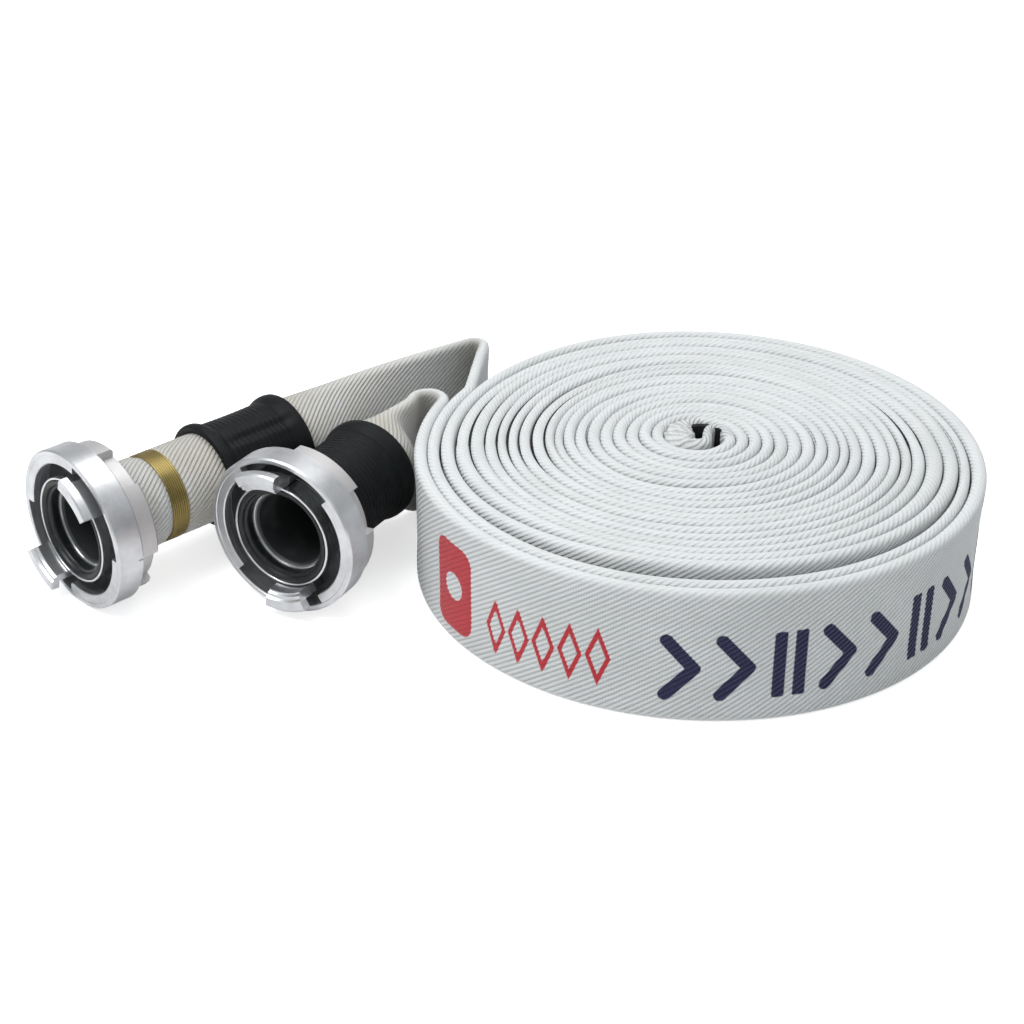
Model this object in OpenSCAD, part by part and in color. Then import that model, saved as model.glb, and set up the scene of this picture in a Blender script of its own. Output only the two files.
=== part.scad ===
// Rolled fire hose: a lay-flat woven hose, folded in the middle and wound up
// from the fold, with a hermaphrodite lug coupling on each end. Half A and half B
// leave the roll on its left, fold back and carry couplings A and B.
// Frame: millimetres, +Z up, front towards -Y, origin on the floor at the middle of the roll.

/* [Hose] */
// Width of the hose when it lies flat, which is the height of the roll
flat_w = 82; // [76:1:88]
// Thickness of the flattened hose with its swollen fold edges
layer_t = 6; // [5.4:0.1:6.2]
// Wall of the woven jacket where the hose is flat
jacket_wall = 1.35; // [1:0.05:1.5]
// Wall of the rubber liner
liner_wall = 1.1; // [0.9:0.05:1.2]
// Outer radius of the hose where it is round, over a coupling shank
round_r = 27.4; // [27.2:0.05:27.6]

/* [Roll] */
// Quarter turns that each half of the hose makes round the core
quarters = 40; // [24:4:40]
// Radial distance from one layer to the next
layer_pitch = 7.4; // [7.2:0.1:7.6]
// Radius of the centre line of the outermost layer
roll_r = 163.5; // [162:0.5:165]
// Shift of the winding's centre, front to back, for each full turn inwards
drift = 1.45; // [0:0.05:1.5]
// Centre of the outermost quarter turn, front to back
roll_y = 6.5; // [0:0.5:8]

/* [Coupling] */
// Outer diameter of the coupling head
rim_d = 98; // [96:1:100]
// Depth of the head's rim, from its front face to its back face
rim_depth = 17; // [15:0.5:18]
// Inner radius of the front flange that a lug slides under
flange_r = 40.5; // [39.5:0.1:41]
// Radius from the axis to the inside of a lug; the lug distance is twice this
lug_r = 33; // [33:0.1:33.5]
// Angle from a lug's middle to where the flange starts
flange_from = 24; // [22:1:26]
// Angle back from the next lug's middle to where the flange ends
slot_to = 57; // [52:1:60]
// How far the lugs stand out in front of the rim
lug_out = 11; // [10:0.5:12]
// Half the angle that one lug spans
lug_half = 19; // [16:1:21]
// Radius of the water way through the shank
bore_r = 22.5; // [21:0.1:22.8]
// Radius of the shank's journal that the head turns on
journal_r = 28; // [27.8:0.1:28.2]
// Radial running clearance between the head and the journal
run_gap = 0.05; // [0.02:0.01:0.1]
// Length of the shank behind the front face
shank_l = 80; // [76:1:84]

/* [Binding] */
// Distance of the first turn of wire behind the front face
bind_s = 53.3; // [53:0.1:53.6]
// Turns of binding wire on each hose end
bind_n = 8; // [6:1:8]
// Radius of the binding wire
wire_r = 0.725; // [0.7:0.005:0.725]

/* [Sleeve] */
// Length of the rubber sleeve
sleeve_l = 64; // [58:1:64]
// Outer radius of the sleeve's body
sleeve_r = 30; // [29.6:0.1:31]
// Outer radius of the sleeve's two collars
collar_r = 32; // [31.5:0.5:32.5]
// Where the rear sleeve is parked behind its coupling's front face
sleeve_a_s = 93; // [90:1:93]
// Where the front sleeve sits behind its coupling's front face
sleeve_b_s = 31; // [31:0.5:33]

/* [Layout] */
// Coupling A's front face, left to right
a_x = -364.4; // [-366:0.1:-362]
// Coupling A's front face, front to back
a_y = -39.3; // [-41:0.1:-38]
// Turn of coupling A about the vertical
a_yaw = -46; // [-46.5:0.1:-45]
// Angle of coupling A's first lug
a_lug = 54; // [0:1:180]
// Coupling B's front face, left to right
b_x = -242.6; // [-244:0.1:-242]
// Coupling B's front face, front to back
b_y = -45.9; // [-48:0.1:-45]
// Turn of coupling B about the vertical
b_yaw = -29.5; // [-30:0.1:-29]
// Angle of coupling B's first lug
b_lug = 101; // [0:1:180]
// Angle on the roll at which half A leaves it
leave_a = 153; // [150:1:156]
// Length of hose A between the roll and its bend
leg_a = 60.5; // [58:0.5:62]
// Radius of the centre line of the bend where hose A folds back
bend_a_r = 6.3; // [6:0.1:7]
// Angle on the roll at which half B leaves it
leave_b = 161; // [159:1:163]
// Length of hose B between the roll and its bend
leg_b = 5; // [4:0.5:6]
// Radius of the centre line of the bend where hose B folds back
bend_b_r = 9.5; // [9:0.1:10]

/* [Hidden] */
$fn = 96;

// Names ending in _s are distances behind a coupling's front face.
bond = 0.05;                          // bond line between jacket and liner
jacket_round = 1.2;                   // jacket wall on the round part
hose_s = 30.6;                        // where the hose starts
press_s = [50.6, 52.1, 64.5, 66];     // hose under the binding: ramp, band, ramp
press_depth = 1.5;                    // how far the binding presses the hose in
wire_lap = 0.03;                      // overlap of neighbouring turns of wire
fit = 0.05;                           // sleeve on hose

// Flat hose sections are [thickness, height]; each pair is [outer, inner].
function inset(size, wall) = size - 2*wall*[1, 1];
jacket_outer = [layer_t, flat_w];
jacket_inner = inset(jacket_outer, jacket_wall);
liner_outer = inset(jacket_inner, bond);
liner_inner = inset(liner_outer, liner_wall);
jacket_flat = [jacket_outer, jacket_inner];
liner_flat = [liner_outer, liner_inner];
// Radii of the round hose, also [outer, inner]
jacket_radii = [round_r, round_r - jacket_round];
liner_outer_r = jacket_radii[1] - bond;
liner_radii = [liner_outer_r, liner_outer_r - liner_wall];

rim_r = rim_d/2;
axis_z = rim_r;                       // the heads rest on the floor
web_s = rim_depth - 3;                // front of the head's web
hub_s = 30;                           // back of the head's hub
hub_r = 40.5;
snap_seat_s = 26;                     // front of the head's recess for the snap ring
thrust_s = 13;                        // back of the shank's thrust flange
thrust_r = 32.2;
groove_r = 26.6;                      // floor of the snap-ring groove
groove_s = [26.3, 28.1];              // front and back of that groove
journal_s = 30.2;                     // back of the journal
spigot_r = 24.4;                      // between the ridges
ridge_r = 25;
seat_r = 30.8;                        // outer wall of the seal's seat
seat_s = 7.5;                         // floor of the seal's seat
part_gap = 0.05;                      // seal in its seat, and around the loose rings

liner_colour = [0.13, 0.13, 0.14];
roll_colour = [0.88, 0.90, 0.91];
tail_colour = [0.87, 0.86, 0.82];
wire_colour = [0.72, 0.60, 0.30];
sleeve_colour = [0.08, 0.09, 0.10];
head_colour = [0.80, 0.81, 0.83];
shank_colour = [0.84, 0.85, 0.86];
seal_colour = [0.06, 0.07, 0.08];
slip_colour = [0.93, 0.93, 0.90];
snap_colour = [0.55, 0.56, 0.58];

function dir(angle) = [cos(angle), sin(angle)];
function left(v) = [-v.y, v.x];
function reverse(list) = [for (i = [len(list) - 1:-1:0]) list[i]];
function bearing(from, to) = atan2(to.y - from.y, to.x - from.x);

// ---------- coupling frames ------------------------------------------------
// A place is [x, y, yaw] of a front face. In its frame z points out of the
// front and y is up, so a distance s behind the face is z = -s.
place_a = [a_x, a_y, a_yaw];
place_b = [b_x, b_y, b_yaw];
module at(place) {
    translate([place[0], place[1], axis_z]) rotate([90, 0, place[2]]) children();
}
// Plan point s behind the face and aside along the frame's x
function behind(place, s, aside = 0) =
    [place[0], place[1]] + s*dir(place[2] + 90) + aside*dir(place[2]);

// ---------- winding --------------------------------------------------------
// The roll is a chain of quarter turns. Each one shares its end tangent with
// the next, whose centre has moved along that end's radius, so the radius
// shrinks by one layer every half turn and the core can sit off centre.
function quarter_start(i) = 180 + 90*i;
function shrink(i) = layer_pitch/2 - drift/2*sin(90*i);
function quarter_r(i) = i == 0 ? roll_r : quarter_r(i - 1) - shrink(i);
function quarter_centre(i) = i == 0 ? [0, roll_y]
    : quarter_centre(i - 1) + shrink(i)*dir(quarter_start(i));
core_centre = quarter_centre(quarters - 1) - [quarter_r(quarters - 1) - layer_pitch/2, 0];

// Beyond the full turns, each half goes on round exit_centre, leaves the roll
// through a small counter-bend, ease = [radius, angle], runs straight and bends back.
exit_centre = quarter_centre(0) + [layer_pitch/2, 0];
exit_b_r = roll_r + layer_pitch/2;
exit_a_r = exit_b_r - layer_pitch;
ease_a = [30, 20];
ease_b = [20, 5];
nose_a = 84;                          // arc of each bend that stays on the roll
nose_b = 100;
function ease_centre(leave, exit_r, ease) = exit_centre + (exit_r + ease[0])*dir(leave);
function bend_centre(leave, exit_r, ease, leg, bend_r) = let (normal = leave + ease[1])
    ease_centre(leave, exit_r, ease) + (bend_r - ease[0])*dir(normal) + leg*dir(normal - 90);
bend_a = bend_centre(leave_a, exit_a_r, ease_a, leg_a, bend_a_r);
bend_b = bend_centre(leave_b, exit_b_r, ease_b, leg_b, bend_b_r);

// Centre line of one half outside the full turns, as [point, right normal] pairs
function leg_path(leave, exit_r, ease, bend, bend_r, nose) = concat(
    [for (a = [180:-3:leave + 1]) [exit_centre + exit_r*dir(a), -dir(a)]],
    [for (k = [0:4]) let (a = leave + ease[1]*k/4)
        [ease_centre(leave, exit_r, ease) - ease[0]*dir(a), -dir(a)]],
    [for (k = [0:12]) let (a = leave + ease[1] - 180 + nose*k/12)
        [bend + bend_r*dir(a), dir(a)]]);
path_a = leg_path(leave_a, exit_a_r, ease_a, bend_a, bend_a_r, nose_a);
path_b = leg_path(leave_b, exit_b_r, ease_b, bend_b, bend_b_r, nose_b);

// The path moved right by shift, and lengthened by over at both ends
function edge(path, shift, over) = let (last = path[len(path) - 1]) concat(
    over > 0 ? [path[0][0] + shift*path[0][1] + [0, -over]] : [],
    [for (q = path) q[0] + shift*q[1]],
    over > 0 ? [last[0] + shift*last[1] + over*left(last[1])] : []);
module ribbon(path, size, over = 0) {
    translate([0, 0, (flat_w - size[1])/2]) linear_extrude(height = size[1])
        polygon(concat(edge(path, size[0]/2, over), reverse(edge(path, -size[0]/2, over))));
}
module leg(path, flat) {
    difference() {
        ribbon(path, flat[0]);
        ribbon(path, flat[1], over = 1);
    }
}

// Section of the flat hose, standing at radius r
module section(r, size) {
    translate([r - size[0]/2, (flat_w - size[1])/2]) square(size);
}
module tube_arc(centre, r, start, sweep, flat) {
    translate([centre.x, centre.y, 0]) rotate([0, 0, start]) rotate_extrude(angle = sweep)
        difference() {
            section(r, flat[0]);
            section(r, flat[1]);
        }
}
// One layer of the whole rolled hose
module coil(flat) {
    for (k = [0:quarters - 1], half = [0, 1])
        tube_arc(quarter_centre(k), quarter_r(k) - half*layer_pitch, quarter_start(k), 90, flat);
    tube_arc(core_centre, layer_pitch/2, 180, 180, flat);   // fold at the core
    leg(path_a, flat);
    leg(path_b, flat);
}
module jacket_roll() { color(roll_colour) coil(jacket_flat); }
module liner_roll() { color(liner_colour) coil(liner_flat); }

// ---------- tails ----------------------------------------------------------
// Point where a line from a plan point touches a circle
function tangent(from, centre, r) =
    centre + r*dir(bearing(centre, from) - acos(r/norm(from - centre)));
// Each flat end is aimed from a point behind its coupling and meets its bend
aim_a = behind(place_a, 205);
aim_b = behind(place_b, 128, aside = 7);
join_a = tangent(aim_a, bend_a, bend_a_r);
join_b = tangent(aim_b, bend_b, bend_b_r);

// Profile of the round hose at radius r as far back as end_s, pressed in at the band
function pressed(r, end_s) = [
    [r, -hose_s], [r, -press_s[0]], [r - press_depth, -press_s[1]],
    [r - press_depth, -press_s[2]], [r, -press_s[3]], [r, -end_s]];
module round_end(radii, end_s) {
    rotate_extrude() polygon(concat(pressed(radii[1], end_s), reverse(pressed(radii[0], end_s))));
}
// Thin round slice of a tail; turn sets where its facets lie
module disc(r, s, turn) {
    translate([0, 0, -s]) rotate([0, 0, turn]) cylinder(h = 0.4, r = r, $fn = 40);
}
// Upright flat slice, from and to along the heading past the plan point
module slab(point, heading, from, to, size) {
    translate([point.x, point.y, flat_w/2]) rotate([0, 0, heading])
        translate([from, -size[0]/2, -size[1]/2]) cube([to - from, size[0], size[1]]);
}
// One layer of a tail: round as far as round_s, then flaring to the flat section
// at join; cap is how thick the flat end slice is.
module tail(place, round_s, aim, join, turn, cap, radii, flat) {
    heading = bearing(aim, join);
    difference() {
        union() {
            at(place) round_end(radii, round_s);
            hull() {
                at(place) disc(radii[0] + 0.1, round_s - 0.1, turn);
                slab(join, heading, -cap, 0, flat[0]);
            }
        }
        hull() {
            at(place) disc(radii[1] - 0.1, round_s - 0.8, turn);
            slab(join, heading, 0, 1, flat[1]);
        }
    }
}
module tail_a(radii, flat) {
    tail(place_a, round_s = 160, aim = aim_a, join = join_a, turn = 6.5, cap = 3.5,
         radii = radii, flat = flat);
}
module tail_b(radii, flat) {
    tail(place_b, round_s = 106, aim = aim_b, join = join_b, turn = 4.4, cap = 2.5,
         radii = radii, flat = flat);
}
module jacket_tail_a() { color(tail_colour) tail_a(jacket_radii, jacket_flat); }
module jacket_tail_b() { color(tail_colour) tail_b(jacket_radii, jacket_flat); }
module liner_tail_a() { color(liner_colour) tail_a(liner_radii, liner_flat); }
module liner_tail_b() { color(liner_colour) tail_b(liner_radii, liner_flat); }

// ---------- coupling head --------------------------------------------------
// Profiles are [radius, z] in the coupling's frame.
module head_body() {
    running_r = journal_r + run_gap;
    snap_recess_r = 31.05;
    rotate_extrude() polygon([
        [rim_r - 3.5, -web_s], [rim_r - 3.5, -0.5], [rim_r - 3, 0], [rim_r - 0.9, 0],
        [rim_r, -0.9], [rim_r, -rim_depth + 1], [rim_r - 1, -rim_depth], [hub_r, -rim_depth],
        [hub_r, -hub_s + 1], [hub_r - 1, -hub_s], [snap_recess_r, -hub_s],
        [snap_recess_r, -snap_seat_s], [running_r, -snap_seat_s], [running_r, -web_s]]);
}
// Front flange in two arcs; the gaps let the other coupling's lugs in
module front_flange() {
    outer_r = rim_r - 2.6;            // inside the rim's metal
    for (k = [0:1]) rotate([0, 0, flange_from + 180*k])
        rotate_extrude(angle = 180 - slot_to - flange_from)
            polygon([[flange_r, -5.5], [flange_r, -1], [flange_r + 0.6, -0.4],
                     [outer_r, -0.4], [outer_r, -5.5]]);
}
module spanner_bosses() {
    inner_r = 39;
    outer_r = 45.5;
    front_z = -rim_depth + 1;
    back_z = -hub_s + 0.4;
    for (k = [0:3]) rotate([0, 0, -62.5 + 90*k]) rotate_extrude(angle = 55)
        polygon([[inner_r, front_z], [outer_r, front_z], [outer_r, back_z + 1.5],
                 [outer_r - 1.5, back_z], [inner_r, back_z]]);
}
module hooked_lugs() {
    stem_r = 38.5;                    // outside of the stem
    hook_r = 44;                      // tip of the hook
    root_z = -web_s - 0.5;
    for (k = [0:1]) rotate([0, 0, -lug_half + 180*k]) rotate_extrude(angle = 2*lug_half)
        polygon([[lug_r, root_z], [stem_r, root_z], [stem_r, lug_out - 5.5],
                 [hook_r, lug_out - 5.5], [hook_r, lug_out - 1], [hook_r - 1, lug_out],
                 [37.4, lug_out], [36.4, lug_out - 1.6], [34.6, lug_out - 1.6],
                 [33.8, lug_out - 3.2], [lug_r, lug_out - 3.2]]);
}
// Index mark on the back edge of the rim
module index_notch() {
    rotate([0, 0, -59]) translate([rim_r - 0.8, -1.1, -rim_depth - 1]) cube([4, 2.2, 5]);
}
module head() {
    difference() {
        union() {
            head_body();
            front_flange();
            spanner_bosses();
            hooked_lugs();
        }
        index_notch();
    }
}
module lug_ring_a() { color(head_colour) at(place_a) rotate([0, 0, a_lug]) head(); }
module lug_ring_b() { color(head_colour) at(place_b) rotate([0, 0, b_lug]) head(); }

// ---------- shank and rings ------------------------------------------------
// Ridges on the spigot, 4 apart
function ridges(first_s, last_s) = [for (s = [first_s:4:last_s])
    each [[spigot_r, -s], [ridge_r, -s - 0.9], [ridge_r, -s - 2.2]]];
// Bright front rim, thrust flange, journal with a snap-ring groove, and a
// ridged spigot that goes into the hose and narrows under the binding
module shank() {
    band_r = 23.5;
    rotate_extrude() polygon(concat(
        [[seat_r, -0.3], [seat_r + 0.3, 0], [thrust_r - 0.3, 0], [thrust_r, -0.3],
         [thrust_r, -thrust_s], [journal_r, -thrust_s],
         [journal_r, -groove_s[0]], [groove_r, -groove_s[0]],
         [groove_r, -groove_s[1]], [journal_r, -groove_s[1]],
         [journal_r, -journal_s], [ridge_r, -journal_s]],
        ridges(36, 48),
        [[24.9, -50.4], [band_r, -press_s[1]], [band_r, -press_s[2]], [spigot_r, -65.7]],
        ridges(67, 75),
        [[spigot_r, -shank_l + 1], [23.6, -shank_l], [bore_r, -shank_l],
         [bore_r, -10.2], [23.6, -9], [25, -9], [25, -seat_s], [seat_r, -seat_s]]));
}
module shank_a() { color(shank_colour) at(place_a) shank(); }
module shank_b() { color(shank_colour) at(place_b) shank(); }

// Seal with a lip in front and a groove in its back
module seal() {
    outer_r = seat_r - part_gap;
    back_z = -seat_s + part_gap;
    rotate_extrude() polygon([
        [outer_r, back_z], [outer_r, -0.8], [30.2, 0.3], [29, 0.4], [27.6, -0.6],
        [27, -1.9], [25.6, -2.6], [25.2, -3.6], [25.2, back_z],
        [27.4, back_z], [27.9, -4.6], [28.6, -4.6], [29.1, back_z]]);
}
module seal_a() { color(seal_colour) at(place_a) seal(); }
module seal_b() { color(seal_colour) at(place_b) seal(); }

// Slip ring between the thrust flange and the head's web
module slip_ring() {
    inner_r = journal_r + 0.15;
    outer_r = thrust_r - 0.3;
    front_z = -thrust_s - part_gap;
    back_z = -web_s + part_gap;
    rotate_extrude() polygon([[inner_r, front_z], [outer_r, front_z],
                              [outer_r, back_z], [inner_r, back_z]]);
}
module slip_ring_a() { color(slip_colour) at(place_a) slip_ring(); }
module slip_ring_b() { color(slip_colour) at(place_b) slip_ring(); }

// Open snap ring in the journal's groove
module snap_ring() {
    inner_r = groove_r + part_gap;
    outer_r = 30;
    front_z = -groove_s[0] - 0.1;
    back_z = -groove_s[1] + 0.1;
    rotate([0, 0, 8]) rotate_extrude(angle = 344)
        polygon([[inner_r, front_z], [outer_r, front_z], [outer_r, back_z], [inner_r, back_z]]);
}
module snap_ring_a() { color(snap_colour) at(place_a) snap_ring(); }
module snap_ring_b() { color(snap_colour) at(place_b) snap_ring(); }

// ---------- binding and sleeve ---------------------------------------------
// Turns of wire side by side, each just lapping the next
module binding() {
    rotate_extrude() union() {
        for (i = [0:bind_n - 1])
            translate([round_r - wire_r, -bind_s - i*(2*wire_r - wire_lap)])
                circle(r = wire_r, $fn = 24);
    }
}
module binding_a() { color(wire_colour) at(place_a) binding(); }
module binding_b() { color(wire_colour) at(place_b) binding(); }

// Rubber sleeve with a collar at each end and fine ribs between them
module sleeve() {
    inner_r = round_r + fit;
    valley_r = sleeve_r - 0.7;
    front_end = [
        [inner_r, -0.5], [inner_r + 0.4, 0], [collar_r - 2, 0], [collar_r - 0.6, -0.8],
        [collar_r, -2.4], [collar_r, -5.4], [collar_r - 0.9, -7.2], [sleeve_r - 0.4, -9.6]];
    ribs = [for (s = [11:3.45:sleeve_l - 13]) each
        [[valley_r, -s], [sleeve_r, -s - 0.7], [sleeve_r, -s - 2.1], [valley_r, -s - 2.8]]];
    back_end = [for (p = reverse(front_end)) [p.x, -sleeve_l - p.y]];
    rotate_extrude() polygon(concat(front_end, ribs, back_end));
}
module sleeve_a() { color(sleeve_colour) at(place_a) translate([0, 0, -sleeve_a_s]) sleeve(); }
module sleeve_b() { color(sleeve_colour) at(place_b) translate([0, 0, -sleeve_b_s]) sleeve(); }

jacket_roll();
liner_roll();
jacket_tail_a();
liner_tail_a();
binding_a();
sleeve_a();
lug_ring_a();
shank_a();
seal_a();
slip_ring_a();
snap_ring_a();
jacket_tail_b();
liner_tail_b();
binding_b();
sleeve_b();
lug_ring_b();
shank_b();
seal_b();
slip_ring_b();
snap_ring_b();
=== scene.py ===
"""A lay-flat hose, folded at its middle and wound double into a roll, with a coupling on each end.

The roll stands on z = 0 with its axis upright near the origin; the hose in it stands on edge.
Both ends leave the roll on its left (-x), bend back and run out to couplings that face forward
and to the left; -y is the front. Shapes are worked out in millimetres and built in metres.
Half A is wound inside half B.
"""
import math
from types import SimpleNamespace

import bpy
import numpy as np
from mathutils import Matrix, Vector


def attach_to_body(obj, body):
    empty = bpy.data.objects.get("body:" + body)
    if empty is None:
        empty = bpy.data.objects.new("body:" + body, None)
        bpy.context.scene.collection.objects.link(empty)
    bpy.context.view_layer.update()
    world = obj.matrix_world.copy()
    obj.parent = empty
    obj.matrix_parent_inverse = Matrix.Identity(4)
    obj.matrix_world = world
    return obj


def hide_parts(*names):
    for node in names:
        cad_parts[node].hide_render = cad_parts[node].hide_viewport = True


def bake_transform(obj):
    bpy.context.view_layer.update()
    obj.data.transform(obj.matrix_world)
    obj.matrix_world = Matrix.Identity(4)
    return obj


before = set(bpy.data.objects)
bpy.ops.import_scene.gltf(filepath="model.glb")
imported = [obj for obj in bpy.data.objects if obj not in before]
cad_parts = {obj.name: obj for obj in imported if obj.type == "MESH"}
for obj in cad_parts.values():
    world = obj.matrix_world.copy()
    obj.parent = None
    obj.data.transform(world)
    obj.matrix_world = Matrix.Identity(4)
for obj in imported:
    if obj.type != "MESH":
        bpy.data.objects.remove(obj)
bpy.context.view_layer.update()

MM = 0.001

# ---------------------------------------------------------------- main dimensions (mm)
HOSE_WIDTH = 82.0           # flat hose, fold edge to fold edge
MID_Z = HOSE_WIDTH / 2
PITCH = 7.4                 # radial step from one layer to the next
ROLL_RADIUS = 163.5         # middle of half B on its first quarter turn
ROLL_Y = 6.5                # the first quarter's centre
DRIFT = 1.45                # how unevenly the two sides of the roll shrink
QUARTERS = 40
ROUND_RADIUS = 27.4         # hose where it is round
AXIS_Z = 49.0               # height of the couplings' axes
HOSE_END = 30.6             # cut end of the hose, behind the coupling's front face

# hose section and weave
GIRTH = 171.8
EDGE_RADIUS = 3.45          # swollen fold edge
WALL_MIDDLE = 2.75          # half thickness of the flat hose at mid height
EDGE_ARC = math.pi * EDGE_RADIUS
EDGE_Z = MID_Z - EDGE_RADIUS
FLAT_LENGTH = (GIRTH - 2 * math.pi * EDGE_RADIUS) / 2
TOP_END = FLAT_LENGTH + EDGE_ARC        # girth where the top fold edge ends
BOTTOM_START = GIRTH - EDGE_ARC         # girth where the bottom fold edge starts
TOP_FOLD = FLAT_LENGTH + EDGE_ARC / 2
BOTTOM_FOLD = GIRTH - EDGE_ARC / 2
RIBS = 53                               # twill ribs round the hose
RIB_PITCH = GIRTH / RIBS                # round the hose
RIB_LENGTH = RIB_PITCH / math.tan(math.radians(36))     # along the hose
RING_STEP = RIB_LENGTH / 3
RIB_RELIEF = 0.30
LINER_INSET = 1.25

# wire binding
BINDING_MIDDLE = 58.3                   # behind the coupling's front face
BINDING_PRESS = 1.35                    # how far it presses into the hose


# ---------------------------------------------------------------- plane geometry
def direction(degrees):
    angle = np.radians(degrees)
    return np.array([np.cos(angle), np.sin(angle)])


def unit(vectors):
    return vectors / np.linalg.norm(vectors, axis=-1, keepdims=True)


def right_of(headings):
    return np.stack([headings[..., 1], -headings[..., 0]], -1)


def arc(centre, radius, start, end, step=0.5):
    count = max(2, int(abs(math.radians(end - start)) * radius / step) + 1)
    angle = np.radians(np.linspace(start, end, count))
    return np.stack([centre[0] + radius * np.cos(angle), centre[1] + radius * np.sin(angle)], 1)


def line(start, end, step=0.5):
    count = max(2, int(np.linalg.norm(end - start) / step) + 1)
    return start + (end - start) * np.linspace(0, 1, count)[:, None]


def bezier(start, start_heading, end, end_heading, reach=0.38, count=400):
    handle = np.linalg.norm(end - start) * reach
    second, third = start + handle * start_heading, end - handle * end_heading
    t = np.linspace(0, 1, count)[:, None]
    return ((1 - t) ** 3 * start + 3 * (1 - t) ** 2 * t * second
            + 3 * (1 - t) * t * t * third + t ** 3 * end)


def spline(controls, steps=24):
    """Catmull-Rom curve from the second control to the last but one."""
    controls = np.array(controls, float)
    t = np.linspace(0, 1, steps, endpoint=False)[:, None]
    out = []
    for k in range(1, len(controls) - 2):
        before, start, end, after = controls[k - 1:k + 3]
        out.append(0.5 * (2 * start + (end - before) * t
                          + (2 * before - 5 * start + 4 * end - after) * t ** 2
                          + (3 * start - before - 3 * end + after) * t ** 3))
    return np.concatenate(out + [controls[-2:-1]])


def join(*parts):
    """Chains polylines, dropping a point that repeats the last one."""
    out = [parts[0]]
    for part in parts[1:]:
        repeated = np.linalg.norm(part[0] - out[-1][-1]) < 1e-6
        out.append(part[1:] if repeated else part)
    return np.concatenate(out)


def steps_of(points):
    return np.linalg.norm(np.diff(points[:, :2], axis=0), axis=1)


def length(points):
    return steps_of(points).sum()


def resample(points, s):
    """All columns of a polyline at lengths s, measured in the plane."""
    at = np.r_[0, np.cumsum(steps_of(points))]
    return np.stack([np.interp(s, at, column) for column in points.T], 1)


def headings(path, s, reach):
    return unit(resample(path, s + reach) - resample(path, s - reach))


# ---------------------------------------------------------------- winding
def quarter_turns():
    """Radius and centre of each quarter turn; they shrink and shift so that the arcs meet."""
    radii, centres = [ROLL_RADIUS], [np.array([0.0, ROLL_Y])]
    for i in range(1, QUARTERS):
        side = i % 4
        shrink = PITCH / 2 + {1: -DRIFT / 2, 3: DRIFT / 2}.get(side, 0)
        move = [(-1, 0), (0, -1), (1, 0), (0, 1)][side]
        radii.append(radii[-1] - shrink)
        centres.append(centres[-1] + shrink * np.array(move, float))
    return radii, centres


QUARTER_RADII, QUARTER_CENTRES = quarter_turns()
OUT_CENTRE = QUARTER_CENTRES[0] + np.array([PITCH / 2, 0])      # arc on which the ends leave
OUT_RADIUS = ROLL_RADIUS + PITCH / 2
RUN_MM_PER_DEGREE = 2.88                # turns length on the run into a winding angle below 180


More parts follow.
